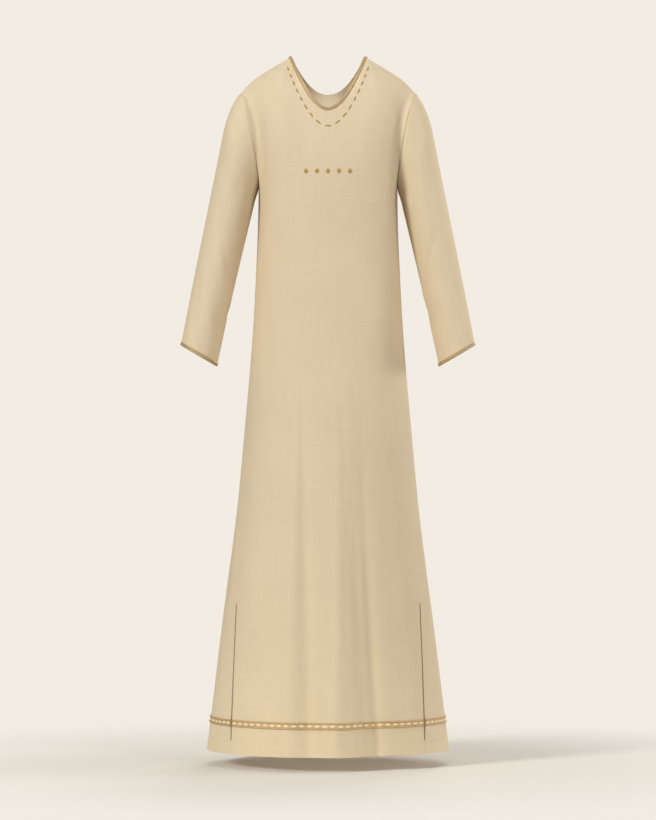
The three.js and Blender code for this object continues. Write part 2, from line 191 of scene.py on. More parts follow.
crepe = dict(
    colour="#d9c6a6",
    slub="#cdb893",  # thicker, darker yarns
    threadSpacing=1.3,  # real crepe has 0.4 mm: drawn coarser so that it shows close up
    slubWidth=3.2,
    slubLength=70,
    cloudSize=160,  # soft change of tone from handling
)


def crepeMaterial():  # woven polyester crepe: matt, pebbled, with a faint bloom where it turns away
    material, tree = newMaterial("sand woven crepe")
    uv = addNode(tree, "ShaderNodeUVMap", uv_map="thread").outputs[0]
    waveScale = math.pi / 10 / (crepe["threadSpacing"] * mm)
    threads = [
        addNode(tree, "ShaderNodeTexWave", {
            "Vector": uv, "Scale": waveScale, "Distortion": 1.5, "Detail": 2.0, "Detail Scale": 0.6,
        }, bands_direction=way).outputs["Fac"] for way in ("X", "Y")
    ]
    weave = addNode(tree, "ShaderNodeMath", {0: threads[0], 1: threads[1]}, operation="MULTIPLY").outputs[0]
    slubs = []
    for along, across in ((0, 1), (1, 0)):  # slubs of the warp, then of the weft
        scale = [1 / (crepe["slubWidth"] * mm), 1 / (crepe["slubLength"] * mm)]
        place = addNode(tree, "ShaderNodeMapping", {"Vector": uv, "Scale": (scale[along], scale[across], 1)})
        slubs.append(addNode(tree, "ShaderNodeTexNoise", {
            "Vector": place.outputs[0], "Scale": 1.0, "Detail": 2.0, "Roughness": 0.5}).outputs["Fac"])
    slub = addNode(tree, "ShaderNodeMath", {0: slubs[0], 1: slubs[1]}, operation="MULTIPLY").outputs[0]
    strong = addNode(tree, "ShaderNodeMapRange", {
        "Value": slub, "From Min": 0.2, "From Max": 0.42, "To Min": 0.0, "To Max": 0.34}).outputs[0]
    cloud = addNode(tree, "ShaderNodeTexNoise", {
        "Vector": uv, "Scale": 1 / (crepe["cloudSize"] * mm), "Detail": 3.0}).outputs["Fac"]
    tone = addNode(tree, "ShaderNodeMapRange", {
        "Value": cloud, "From Min": 0.3, "From Max": 0.7, "To Min": 0.975, "To Max": 1.02}).outputs[0]
    yarn = addNode(tree, "ShaderNodeMix", {
        0: strong, 6: linear(crepe["colour"]), 7: linear(crepe["slub"])}, data_type="RGBA").outputs[2]
    colour = addNode(tree, "ShaderNodeVectorMath", {0: yarn, "Scale": tone}, operation="SCALE").outputs[0]
    relief = addNode(tree, "ShaderNodeMath", {0: slub, 1: 0.9, 2: weave}, operation="MULTIPLY_ADD").outputs[0]
    bump = addNode(tree, "ShaderNodeBump", {"Height": relief, "Strength": 0.45, "Distance": 0.25 * mm})
    rough = addNode(tree, "ShaderNodeMapRange", {
        "Value": weave, "From Min": 0.0, "From Max": 1.0, "To Min": 0.9, "To Max": 0.78}).outputs[0]
    shader = addNode(tree, "ShaderNodeBsdfPrincipled", {
        "Base Color": colour, "Roughness": rough, "Normal": bump.outputs[0], "Specular IOR Level": 0.22,
        "Sheen Weight": 0.22, "Sheen Roughness": 0.45, "Sheen Tint": linear("#efe0c6")})
    addNode(tree, "ShaderNodeOutputMaterial", {"Surface": shader.outputs[0]})
    return material


def threadMaterial(name, colour, dark, spacing, slant, metallic, roughness):
    # Filament yarn laid close. Its colour is painted lighter along each thread's crown, where the bump rises,
    # and darker in the groove between threads: a painted highlight and painted shade, over random patches of
    # tone. Real threads lie 0.2 to 0.3 mm apart: they are drawn coarser so that they show close up.
    material, tree = newMaterial(name)
    uv = addNode(tree, "ShaderNodeUVMap", uv_map="thread").outputs[0]
    turned = addNode(tree, "ShaderNodeMapping", {"Vector": uv, "Rotation": (0, 0, math.radians(slant))})
    lines = addNode(tree, "ShaderNodeTexWave", {
        "Vector": turned.outputs[0], "Scale": math.pi / 10 / (spacing * mm), "Distortion": 0.8, "Detail": 2.0,
        "Detail Scale": 0.8}, bands_direction="X").outputs["Fac"]
    patches = addNode(tree, "ShaderNodeTexNoise", {
        "Vector": uv, "Scale": 1 / (14 * mm), "Detail": 2.0}).outputs["Fac"]
    mixed = addNode(tree, "ShaderNodeMath", {
        0: lines, 1: 0.7, 2: patches}, operation="MULTIPLY_ADD").outputs[0]
    share = addNode(tree, "ShaderNodeMapRange", {
        "Value": mixed, "From Min": 0.4, "From Max": 1.25}).outputs[0]
    # painted highlight on the thread crowns and painted shade in the grooves, with random patches of tone
    yarn = addNode(tree, "ShaderNodeMix", {
        0: share, 6: linear(dark), 7: linear(colour)}, data_type="RGBA").outputs[2]
    bump = addNode(tree, "ShaderNodeBump", {"Height": lines, "Strength": 0.5, "Distance": 0.2 * mm})
    shader = addNode(tree, "ShaderNodeBsdfPrincipled", {
        "Base Color": yarn, "Metallic": metallic, "Roughness": roughness, "Normal": bump.outputs[0],
        "Sheen Weight": 0.15, "Sheen Roughness": 0.4})
    addNode(tree, "ShaderNodeOutputMaterial", {"Surface": shader.outputs[0]})
    return material


def brassMaterial():  # brushed brass: a soft broken highlight along the brushing
    material, tree = newMaterial("brushed brass")
    place = addNode(tree, "ShaderNodeTexCoord").outputs["Object"]
    stretched = addNode(tree, "ShaderNodeMapping", {"Vector": place, "Scale": (1 / (0.25 * mm), 40, 60)})
    grain = addNode(tree, "ShaderNodeTexNoise", {
        "Vector": stretched.outputs[0], "Scale": 1.0, "Detail": 3.0}).outputs["Fac"]
    rough = addNode(tree, "ShaderNodeMapRange", {
        "Value": grain, "From Min": 0.3, "From Max": 0.7, "To Min": 0.52, "To Max": 0.66}).outputs[0]
    colour = addNode(tree, "ShaderNodeMix", {
        0: grain, 6: linear("#b3945b"), 7: linear("#cfae74")}, data_type="RGBA").outputs[2]
    bump = addNode(tree, "ShaderNodeBump", {"Height": grain, "Strength": 0.25, "Distance": 0.1 * mm})
    shader = addNode(tree, "ShaderNodeBsdfPrincipled", {
        "Base Color": colour, "Metallic": 1.0, "Roughness": rough, "Normal": bump.outputs[0]})
    addNode(tree, "ShaderNodeOutputMaterial", {"Surface": shader.outputs[0]})
    return material


sandCrepe = crepeMaterial()
# Each yarn: name, colour painted on the thread crowns as highlight and darker colour painted in the grooves
# as shade, millimetres between threads, their slant in degrees, metallic and roughness. Satin and cord gleam
# along the threads, silk is bright and soft, sewing thread matt.
goldSatin = threadMaterial("gold satin-woven ribbon", "#bea170", "#a3885d", 0.9, 55, 0.2, 0.42)
paleSatin = threadMaterial("pale gold satin-woven tape", "#d2b484", "#bd9c66", 0.9, 55, 0.1, 0.45)
goldCord = threadMaterial("gold twisted viscose cord", "#d1b27d", "#ae9162", 0.7, 90, 0.25, 0.42)
creamSilk = threadMaterial("cream stitched silk", "#f7e8c6", "#e6d0a3", 0.6, 90, 0.0, 0.5)
goldThread = threadMaterial("gold embroidery thread", "#bd9c62", "#a08049", 0.6, 90, 0.2, 0.45)
brownThread = threadMaterial("brown corded thread", "#9a8564", "#836f52", 0.5, 60, 0.0, 0.65)
sandThread = threadMaterial("sand sewing thread", "#d3bf9c", "#c2ad88", 0.4, 60, 0.0, 0.6)
brushedBrass = brassMaterial()
print("materials made")


# The garment's own shape, as its solids have it.
bodyShape = dict(
    length=1420,
    waistZ=-430,  # level sections below, shaped bodice above
    facing=dict(front=-1, back=1),
    neckTurn=30,  # degrees round the body: neckline, shoulder seam, armhole, side seam
    shoulderTurn=58,
    sideTurn=90,
    neckline=dict(front=dict(drop=113, reach=88, power=1.8), back=dict(drop=73, reach=80, power=2.1)),
    neckRoundness=2.4,
    shoulderTip=(181, -77),
    armpit=(143, -275),
    armholeReach=dict(front=58, back=56),
    armholeBow=9,
)
shoulderSeam = dict(share=[0, 0.33, 0.68, 1], x=[75, 112, 152, 181], y=[8, 6, 3, 0], z=[0, -22, -48, -77])
sections = dict(
    z=[-1420, -1190, -945, -740, -620, -520, -430],
    halfWidth=[248, 219.5, 188, 168.5, 158, 151, 147],
    front=[209, 186, 160, 141, 130, 123, 120],
    back=[200, 180, 157, 139, 127, 114, 105],
    squareness=[2, 2, 2, 2.06, 2.12, 2.18, 2.22],
)
topEdgeRun = dict(
    turn=[0, 15, 30, 44, 58, 66, 76, 90],
    outward=[0, -0.3, -0.3, 0, 0.45, 0.5, 0.3, 0],
    over=[0.45, 0.55, 0.92, 0.86, 0.65, 0.35, -0.05, 0],
    up=[1, 0.95, 0.55, 0.32, 0.15, 0.6, 0.9, 1],
)
sleeveRings = dict(
    share=[i / 8 for i in range(9)],
    outX=[181, 198, 210, 217.3, 228, 244, 263, 282, 300],
    outZ=[-77, -106, -139, -172, -225, -305, -400, -497, -593],
    inX=[143, 146, 150, 154, 160, 172, 189, 208, 226.5],
    inZ=[-275, -285, -299, -316, -341, -391, -464, -549, -636],
    y=[0, 0, -1, -1, -2, -4, -10, -21, -34],
    front=[58, 62, 65, 67, 67, 65, 61, 57, 52],
    back=[56, 61, 66, 68, 68, 66, 62, 57, 51],
)
ventLine = dict(topZ=-1118, topX=186.4, hemX=196.5, turn=61.2, gap=0.3)

# Folds of the skirt: each starts as a point and widens to the hem, a ridge that falls away to a
# trough, towards +X where depth is positive. (topX, topZ, hemX, spread, depth)
skirtFolds = dict(
    front=[(-56.5, -584, -59, 25, 5.6), (20, -675, 50, 36, 7.2), (48.5, -661, 57, 41, 7.4),
           (60.5, -649, 83, 25, 5.4)],
    back=[(84, -705, 118, 30, -5.4), (26, -560, 37, 34, 6), (-18, -640, -30, 27, -4.8),
          (-66, -610, -98, 38, 6)],
)
foldStart = 0.1  # share of its width that a fold has at its top


def hermite(start, leave, end, arrive, s):
    t = 1 - s
    return t * t * ((1 + 2 * s) * start + s * leave) + s * s * ((1 + 2 * t) * end - t * arrive)


def smoothTable(table, key, value):  # every column of a table at a value of its key
    keys = np.array(table[key], float)
    value = np.clip(value, keys[0], keys[-1])
    i = np.clip(np.searchsorted(keys, value, side="right") - 1, 0, len(keys) - 2)
    span = keys[i + 1] - keys[i]
    share = (value - keys[i]) / span
    below, above = np.r_[0, :len(keys) - 1], np.r_[1:len(keys), len(keys) - 1]
    found = {}
    for name, column in table.items():
        if name != key:
            v = np.array(column, float)
            slope = (v[above] - v[below]) / (keys[above] - keys[below])
            found[name] = hermite(v[i], slope[i] * span, v[i + 1], slope[i + 1] * span, share)
    return found


def lerp(a, b, share):
    return a + (b - a) * share


def unit(vectors):
    return vectors / np.linalg.norm(vectors, axis=-1, keepdims=True)


def slidTurn(turn, z):  # columns slide so that one of them runs down each vent
    s = bodyShape
    section = smoothTable(sections, "z", np.minimum(z, ventLine["topZ"]))
    below = np.clip((ventLine["topZ"] - z) / (ventLine["topZ"] + s["length"]), 0, 1)
    above = np.clip((s["waistZ"] - z) / (s["waistZ"] - ventLine["topZ"]), 0, 1)
    x = lerp(ventLine["topX"], ventLine["hemX"], below)
    ventTurn = np.degrees(np.arcsin((x / section["halfWidth"]) ** (section["squareness"] / 2)))
    slid = lerp(ventLine["turn"], ventTurn, above)
    inner = turn * slid / ventLine["turn"]
    toSide = s["sideTurn"] - turn
    outer = s["sideTurn"] - toSide * (s["sideTurn"] - slid) / (s["sideTurn"] - ventLine["turn"])
    return np.where(turn < ventLine["turn"], inner, outer)


def foldHeight(panel, x, z):
    height = np.zeros(np.broadcast(x, z).shape)
    for topX, topZ, hemX, spread, depth in skirtFolds[panel]:
        down = np.maximum(0, (topZ - z) / (topZ + bodyShape["length"]))
        a = (x - lerp(topX, hemX, down)) / (spread * lerp(foldStart, 1, down))
        height = height - depth * down * 2 * a / (1 + a * a)
    return height


def skirtPoint(panel, side, turn, z):
    section = smoothTable(sections, "z", z)
    angle = np.radians(slidTurn(turn, z))
    power = 2 / section["squareness"]
    x = side * section["halfWidth"] * np.sin(angle) ** power
    reach = section[panel] + foldHeight(panel, x, z)
    y = bodyShape["facing"][panel] * reach * np.maximum(0, np.cos(angle)) ** power
    return np.stack(np.broadcast_arrays(x, y, z), -1)


def armholePoint(panel, side, degrees):
    s = bodyShape
    down, bulge = (1 - np.cos(np.radians(degrees))) / 2, np.sin(np.radians(degrees))
    x = lerp(s["shoulderTip"][0], s["armpit"][0], down) - s["armholeBow"] * bulge
    y = s["facing"][panel] * s["armholeReach"][panel] * bulge
    return np.stack(np.broadcast_arrays(side * x, y, lerp(s["shoulderTip"][1], s["armpit"][1], down)), -1)


def armholeNormal(panel, side, degrees):
    s = bodyShape
    dx, dz = s["shoulderTip"][0] - s["armpit"][0], s["shoulderTip"][1] - s["armpit"][1]
    size = math.hypot(dx, dz)
    along = np.cos(np.radians(degrees)) * s["armholeReach"][panel] / size
    y = s["facing"][panel] * np.sin(np.radians(degrees)) * size / 2
    return unit(np.stack(np.broadcast_arrays(side * dx * along, y, dz * along), -1))


def armholeDegrees(turn):
    return 180 * (turn - bodyShape["shoulderTurn"]) / (bodyShape["sideTurn"] - bodyShape["shoulderTurn"])


def topEdge(panel, side, turn):  # neckline, then shoulder seam, then armhole
    s, neck = bodyShape, bodyShape["neckline"][panel]
    share = np.minimum(turn / s["neckTurn"], 1)
    y = lerp(s["facing"][panel] * neck["reach"], shoulderSeam["y"][0], share ** s["neckRoundness"])
    z = -neck["drop"] * (1 - share ** neck["power"])
    neckline = np.stack([side * shoulderSeam["x"][0] * share, y, z], -1)
    seam = smoothTable(shoulderSeam, "share", (turn - s["neckTurn"]) / (s["shoulderTurn"] - s["neckTurn"]))
    shoulder = np.stack([side * seam["x"], seam["y"], seam["z"]], -1)
    armhole = armholePoint(panel, side, armholeDegrees(turn))
    turn = turn[:, None]
    return np.where(turn <= s["neckTurn"], neckline, np.where(turn <= s["shoulderTurn"], shoulder, armhole))


def bodicePoints(panel, side, turn, share):
    s = bodyShape
    start = skirtPoint(panel, side, turn, np.full(turn.shape, float(s["waistZ"])))
    before = skirtPoint(panel, side, turn, np.full(turn.shape, s["waistZ"] - 5.0))
    end = topEdge(panel, side, turn)
    reach = np.linalg.norm(end - start, axis=-1, keepdims=True)
    run = smoothTable(topEdgeRun, "turn", turn)
    arrive = np.stack([side * run["outward"], -s["facing"][panel] * run["over"], run["up"]], -1) * reach
    return hermite(start, unit(start - before) * reach, end, arrive, share[:, None, None])


def sleevePoints(side, degrees, share):
    ring = smoothTable(sleeveRings, "share", share[:, None])
    across, bulge = (1 - np.cos(np.radians(degrees))) / 2, np.sin(np.radians(degrees))
    nearArmhole = np.maximum(0, 1 - share[:, None] * 4)
    x = lerp(ring["outX"], ring["inX"], across) - bodyShape["armholeBow"] * np.abs(bulge) * nearArmhole
    y = ring["y"] - bulge * np.where(bulge > 0, ring["front"], ring["back"])
    return np.stack([side * x, y, lerp(ring["outZ"], ring["inZ"], across)], -1)


# Soft creases, as heights over that shape: a line on the cloth from one end to the other, its half
# width and its height, where a trough is negative. On a panel a place is (millimetres round from the
# centre line, z).
panelCreases = dict(
    front=[
        ((118, -300), (62, -236), 11, -1.5), ((124, -322), (70, -300), 10, 1.0),
        ((-120, -296), (-58, -246), 12, -1.3),
        ((-126, -330), (-76, -318), 10, 0.9), ((134, -372), (96, -430), 13, -1.1),
        ((-132, -356), (-104, -440), 14, -1.0),
        ((-150, -470), (-128, -700), 17, -1.3), ((148, -520), (150, -760), 19, -1.4),
        ((96, -470), (112, -640), 20, 0.9),
        ((-100, -760), (-150, -1330), 26, -1.7), ((-196, -640), (-250, -1300), 25, -1.8),
        ((150, -820), (205, -1400), 27, 1.7),
        ((210, -700), (282, -1380), 24, -1.7), ((-262, -900), (-318, -1400), 22, -1.6),
        ((-20, -980), (-12, -1400), 24, 1.0),
        ((58, -172), (46, -212), 13, -0.8), ((-52, -176), (-44, -206), 12, -0.7),
        # ridges and troughs along the edges of the folds, strongest at the hem
        ((-58, -590), (-112, -2100), 13, 3.0), ((-54, -584), (-16, -2080), 12, -3.0),
        ((20, -680), (8, -2110), 13, 3.2), ((34, -870), (92, -2000), 9, 1.7),
        ((40, -760), (135, -2100), 10, -2.0), ((56, -660), (160, -2120), 13, -3.2),
        ((92, -680), (200, -2160), 25, 3.2),
    ],
    back=[
        ((116, -296), (66, -262), 12, -2.1), ((122, -330), (74, -316), 11, 1.4),
        ((-118, -300), (-70, -270), 11, -1.8),
        ((60, -392), (-40, -404), 14, -1.7), ((78, -436), (-62, -448), 15, 1.4),
        ((40, -474), (-70, -462), 14, -1.6),
        ((-136, -470), (-120, -720), 18, -2.0), ((140, -500), (132, -780), 19, -2.0),
        ((-160, -700), (-228, -1380), 27, -2.6),
        ((176, -760), (240, -1400), 25, 2.5), ((224, -640), (296, -1360), 24, -2.3),
        ((-236, -860), (-312, -1400), 24, 2.2),
        ((0, -900), (6, -1400), 26, -1.8), ((28, -110), (14, -190), 14, -1.0),
        ((-88, -120), (-64, -210), 15, 1.2),
        ((22, -600), (-12, -2080), 10, 2.0), ((30, -580), (104, -2080), 11, -2.2),
        ((-68, -630), (-192, -2100), 10, 2.1), ((-62, -660), (-58, -2050), 9, -1.8),
        ((88, -720), (206, -2120), 10, 2.0), ((82, -750), (94, -2110), 10, -2.1),
    ],
)
# On a sleeve a place is (degrees round from the outside by way of the front, millimetres down it).
sleeveCreases = dict(
    sleeve_left=[
        ((150, 196), (70, 236), 13, -2.8), ((196, 214), (104, 268), 12, 2.0),
        ((210, 236), (132, 300), 12, -2.5),
        ((246, 182), (196, 250), 13, -2.4), ((290, 226), (226, 286), 14, 1.8),
        ((158, 316), (96, 360), 12, -1.7),
        ((120, 30), (92, 110), 13, -2.1), ((150, 22), (128, 96), 11, 1.7),
        ((236, 26), (262, 118), 13, -2.2),
        ((28, 60), (14, 190), 18, -1.5), ((64, 330), (40, 470), 17, -1.7),
        ((318, 300), (336, 452), 17, -1.7),
        ((110, 400), (84, 482), 13, -1.4), ((250, 380), (282, 470), 14, 1.4),
    ],
    sleeve_right=[
        ((156, 206), (84, 230), 12, -2.5), ((188, 226), (96, 282), 13, 2.1),
        ((204, 250), (140, 292), 11, -2.2),
        ((238, 190), (190, 262), 14, -2.5), ((284, 214), (232, 294), 13, 1.7),
        ((150, 300), (104, 352), 13, -1.8),
        ((126, 36), (88, 118), 14, -2.0), ((144, 26), (132, 88), 11, 1.5),
        ((240, 30), (258, 110), 12, -2.1),
        ((36, 80), (20, 180), 17, -1.4), ((58, 350), (46, 462), 16, -1.5),
        ((322, 320), (330, 440), 18, -1.5),
        ((98, 388), (90, 474), 14, -1.4), ((256, 372), (276, 480), 13, 1.4),
    ],
)
creaseForm = dict(
    wander=0.35,  # how far a crease strays from its line, in half widths
    bends=3.1,
    startWidth=0.75,
    widening=0.35,
    fade=1.3,  # towards both ends
)
sewing = dict(
    cloth=1.1,  # thickness of the shell
    rollDepth=1.3,  # how far cloth turns in at a seam
    rollWidth=2.4,
    hemRise=26,  # hem stitching, above the edge
    hemRidge=0.35,
    hemSpread=1.6,  # half width of the dip under the hem stitches
    pucker=0.35,
    puckerPitch=11,
    puckerReach=16,
    softEdge=0.3,
    edgeAngle=50,
)


def creaseHeights(across, along, creases, roundness=None):
    height = np.zeros(np.broadcast(across, along).shape)
    for (ax, ay), (bx, by), halfWidth, rise in creases:
        scale = 1 if roundness is None else roundness  # millimetres for each unit across
        dx, dy = (bx - ax) * scale, by - ay
        px, py = (across - ax) * scale, along - ay
        length = np.hypot(dx, dy)
        t = (px * dx + py * dy) / length ** 2
        gap = (px * dy - py * dx) / length
        gap = gap + halfWidth * creaseForm["wander"] * np.sin(creaseForm["bends"] * t + ax)
        width = halfWidth * (creaseForm["startWidth"] + creaseForm["widening"] * np.clip(t, 0, 1))
        ends = np.sin(np.pi * np.clip(t, 0, 1)) ** creaseForm["fade"]
        height = height + rise * ends * np.exp(-(gap / width) ** 2)
    return height


def relax(points, weight, rounds=36):  # eases sharp lines that run up the bodice
    for _ in range(rounds):
        step = np.linalg.norm(np.diff(points, axis=1), axis=-1, keepdims=True)
        before, after = step[:, :-1], step[:, 1:]
        between = (points[:, :-2] * after + points[:, 2:] * before) / (before + after)
        points = points.copy()
        points[:, 1:-1] += 0.5 * weight[:, 1:-1, None] * (between - points[:, 1:-1])
    return points


def runLength(points, axis):  # distance along each row or column of a grid, or along a line
    step = np.linalg.norm(np.diff(points, axis=axis), axis=-1)
    return np.concatenate([np.zeros_like(np.take(step, [0], axis)), np.cumsum(step, axis)], axis)


def gridNormals(points):
    return unit(np.cross(np.gradient(points, axis=1), np.gradient(points, axis=0)))


def ringNormals(points):  # the same for a tube, whose last column meets its first
    return gridNormals(np.concatenate([points[:, -1:], points, points[:, :1]], 1))[:, 1:-1]


def seamRoll(distance):
    return -sewing["rollDepth"] * np.exp(-(distance / sewing["rollWidth"]) ** 2)


def evenSteps(*stops):  # (value, count), (value, count) ... : even steps to each value
    values = [stops[0]]
    for value, count in stops[1:]:
        start = values[-1]
        values += [lerp(start, value, (i + 1) / count) for i in range(count)]
    return np.array(values, float)


grids = {}  # each piece's outer surface, for what is sewn on it
panelMesh = dict(
    hemRows=[1.5, 4],  # heights of the first rows above the hem
    stitchRows=[-1395, -1393],
    ventColumns=[60.6, 61.8],  # degrees round, close to each side of the vent
    sideColumns=[89, 89.7],
    bodiceRows=[(0.97, 60), (0.99, 3), (1, 3)],  # share of the way up from the waist, and steps to it
    easeReach=45,  # how far below the top edge the easing grows to its full strength
    easeFade=60,  # and how far under the waist it fades out
    hemCalm=0.85,  # share of the creases that is left at the very edge of the hem
    calmReach=6,
    calmZ=-1300,
)


def panelGrid(panel):
    s, m = bodyShape, panelMesh
    half = evenSteps(0, (s["neckTurn"], 28), (s["shoulderTurn"], 23), (m["ventColumns"][0], 2),
                     (ventLine["turn"], 1), (m["ventColumns"][1], 1), (m["sideColumns"][0], 23),
                     (m["sideColumns"][1], 1), (s["sideTurn"], 1))
    turn = np.concatenate([-half[:0:-1], half])
    side = np.where(turn < 0, s["facing"][panel], -s["facing"][panel])
    turn = np.abs(turn)
    heights = evenSteps(-s["length"], (m["hemRows"][0] - s["length"], 1), (m["hemRows"][1] - s["length"], 1),
                        (m["stitchRows"][0], 4), (m["stitchRows"][1], 1), (ventLine["topZ"], 42),
                        (s["waistZ"], 104))
    skirt = skirtPoint(panel, side, turn, heights[:, None])
    shares = evenSteps(0, *m["bodiceRows"])[1:]
    points = np.concatenate([skirt, bodicePoints(panel, side, turn, shares)])
    along = runLength(points, 0)
    fromTop = along[-1:] - along
    weight = np.clip(fromTop / m["easeReach"] - 0.15, 0, 1)
    points = relax(points, weight * np.clip((points[..., 2] - s["waistZ"]) / m["easeFade"] + 1, 0, 1))
    normals = gridNormals(points)
    atSide, atShoulder = turn == s["sideTurn"], (turn >= s["neckTurn"]) & (turn <= s["shoulderTurn"])
    normals[:, atSide, 1] = 0
    normals[-1, atShoulder, 1] = 0
    normals = unit(normals)
    atArmhole = turn > s["shoulderTurn"]
    normals[-1, atArmhole] = armholeNormal(panel, side[atArmhole], armholeDegrees(turn[atArmhole]))

    across, along = runLength(points, 1), runLength(points, 0)
    middle = across[:, len(turn) // 2][:, None]
    fromSide = np.minimum(across, across[:, -1:] - across)
    fromTop = along[-1:] - along
    sideways, z = (across - middle) * -s["facing"][panel], points[..., 2]  # positive towards +X
    height = creaseHeights(sideways, z, panelCreases[panel]) + seamRoll(fromSide)
    height = height + np.where(turn >= s["neckTurn"], seamRoll(fromTop), 0)
    pucker = np.sin(sideways * 2 * np.pi / sewing["puckerPitch"] + 0.7 * np.sin(sideways / 17))
    height = height + np.where(turn > s["shoulderTurn"], 1, 0) * sewing["pucker"] * pucker * np.exp(
        -(fromTop / sewing["puckerReach"]) ** 2)
    fromStitch = z + s["length"] - sewing["hemRise"]
    dip = np.exp(-(fromStitch / sewing["hemSpread"]) ** 2)
    height = height + sewing["hemRidge"] * (1 / (1 + np.exp(fromStitch / 2.5)) - dip)
    fade = np.clip(along / m["calmReach"], 0, 1)  # the edge of the hem keeps its line
    height = height * np.where(z < m["calmZ"], lerp(m["hemCalm"], 1, fade), 1)
    points = points + normals * height[..., None]
    grids[panel] = dict(points=points, normals=gridNormals(points), turn=turn, across=sideways, along=along,
                        heights=heights)
    return grids[panel]


def gridFaces(numbers):
    a, b, d, c = numbers[:-1, :-1], numbers[:-1, 1:], numbers[1:, :-1], numbers[1:, 1:]
    return np.stack([a, b, c, d], -1).reshape(-1, 4)


def panelPiece(panel):
    grid = panelGrid(panel)
    points, uv = grid["points"], np.stack([grid["across"], grid["along"]], -1)
    rows, columns = points.shape[:2]
    numbers = np.arange(rows * columns).reshape(rows, columns)
    flat, flatUv = [points.reshape(-1, 3)], [uv.reshape(-1, 2)]
    count = rows * columns
    vents = np.flatnonzero(np.isclose(grid["turn"], ventLine["turn"])) if panel == "front" else []
    ventRow = int(np.argmin(np.abs(grid["heights"] - ventLine["topZ"])))
    stops = [0, *vents, columns - 1]
    strips = []
    for start, end in zip(stops, stops[1:]):
        strip = numbers[:ventRow + 1, start:end + 1].copy()
        if start:  # the far side of a slit gets points of its own
            across = unit(points[:ventRow, start + 1] - points[:ventRow, start - 1]) * ventLine["gap"] / 2
            flat.append(points[:ventRow, start] + across)
            flat[0][numbers[:ventRow, start]] -= across
            flatUv.append(uv[:ventRow, start])
            strip[:ventRow, 0] = np.arange(count, count + ventRow)
            count += ventRow
        strips.append(gridFaces(strip))
    grid["vents"] = [int(v) for v in vents]
    grid["ventRow"] = ventRow
    faces = np.concatenate([*strips, gridFaces(numbers[ventRow:])])
    piece = meshPiece(f"{panel}_cloth", np.concatenate(flat), faces, sandCrepe, np.concatenate(flatUv), panel)
    thicken(piece)
    return piece


def thicken(piece):
    solid = piece.modifiers.new("cloth thickness", "SOLIDIFY")
    solid.thickness, solid.offset = sewing["cloth"] * mm, -1
    edge = piece.modifiers.new("soft edges", "BEVEL")
    edge.width, edge.segments = sewing["softEdge"] * mm, 2
    edge.limit_method, edge.angle_limit = "ANGLE", math.radians(sewing["edgeAngle"])


sleeveMesh = dict(
    columns=[(168, 42), (176, 3), (178.4, 1), (180, 1)],  # degrees round to the seam, and steps to them
    rows=[(0.006, 2), (0.02, 3), (0.985, 88), (1, 4)],  # share of the way down, and steps to it
    topCalm=14,  # creases fade out towards the armhole and the cuff
    cuffCalm=20,
)


def sleevePiece(name, side):
    half = evenSteps(0, *sleeveMesh["columns"])
    degrees = np.concatenate([half, 360 - half[-2:0:-1]])
    shares = evenSteps(0, *sleeveMesh["rows"])
    points = sleevePoints(side, side * degrees, shares)
    normals = ringNormals(points)
    inFront = np.sin(np.radians(side * degrees)) > 0
    for panel, mask in (("front", inFront), ("back", ~inFront)):
        normals[0, mask] = armholeNormal(panel, side, np.minimum(degrees, 360 - degrees)[mask])
    along = runLength(points, 0)
    across = runLength(np.concatenate([points, points[:, :1]], 1), 1)
    perDegree = across[:, -1:] / 360
    around = degrees if side > 0 else (360 - degrees) % 360  # by way of the front on both sleeves
    height = creaseHeights(around, along, sleeveCreases[name], perDegree)
    fromCuff = along[-1:] - along
    height = height * np.clip(along / sleeveMesh["topCalm"], 0, 1)
    height = height * np.clip(fromCuff / sleeveMesh["cuffCalm"], 0, 1)
    height = height + seamRoll(along) + 0.5 * seamRoll(np.abs(degrees - 180) * perDegree)
    pucker = np.sin(across[:, :-1] * 2 * np.pi / sewing["puckerPitch"])
    height = height + sewing["pucker"] * pucker * np.exp(-(along / sewing["puckerReach"]) ** 2)
    points = points + normals * height[..., None]
    rows, columns = points.shape[:2]
    numbers = np.arange(rows * columns).reshape(rows, columns)
    faces = gridFaces(np.concatenate([numbers, numbers[:, :1]], 1))
    grids[name] = dict(points=points, normals=ringNormals(points))
    piece = meshPiece(f"{name}_cloth", points.reshape(-1, 3), faces, sandCrepe,
                      np.stack([across[:, :-1], along], -1).reshape(-1, 2), name)
    thicken(piece)
    return piece


front, back = panelPiece("front"), panelPiece("back")
sleeves = {side: sleevePiece(f"sleeve_{side}", sign) for side, sign in (("left", 1), ("right", -1))}
print("cloth made")


def evenLine(step, points, *others):  # points, and the directions at them, at even steps along a line
    length = runLength(points, 0)
    places = np.linspace(0, length[-1], max(2, round(length[-1] / step) + 1))
    return [np.stack([np.interp(places, length, line[:, k]) for k in range(3)], -1)
            for line in (points, *others)]


def levelLine(panel, rise, first=0, last=None, inset=0.0):  # a line round a panel, this far above its hem
    grid = grids[panel]
    z = rise - bodyShape["length"]
    i = int(np.searchsorted(grid["heights"], z)) - 1
    share = (z - grid["heights"][i]) / (grid["heights"][i + 1] - grid["heights"][i])
    columns = slice(first, None if last is None else last + 1)
    points = lerp(grid["points"][i, columns], grid["points"][i + 1, columns], share)
    normals = unit(lerp(grid["normals"][i, columns], grid["normals"][i + 1, columns], share))
    points, normals = evenLine(1.0, points, normals)
    ends = round(inset)
    return (points[ends:-ends], normals[ends:-ends]) if ends else (points, normals)


def acrossOf(points, normals):  # to the left of the way along, as seen from outside
    return unit(np.cross(normals, np.gradient(points, axis=0)))


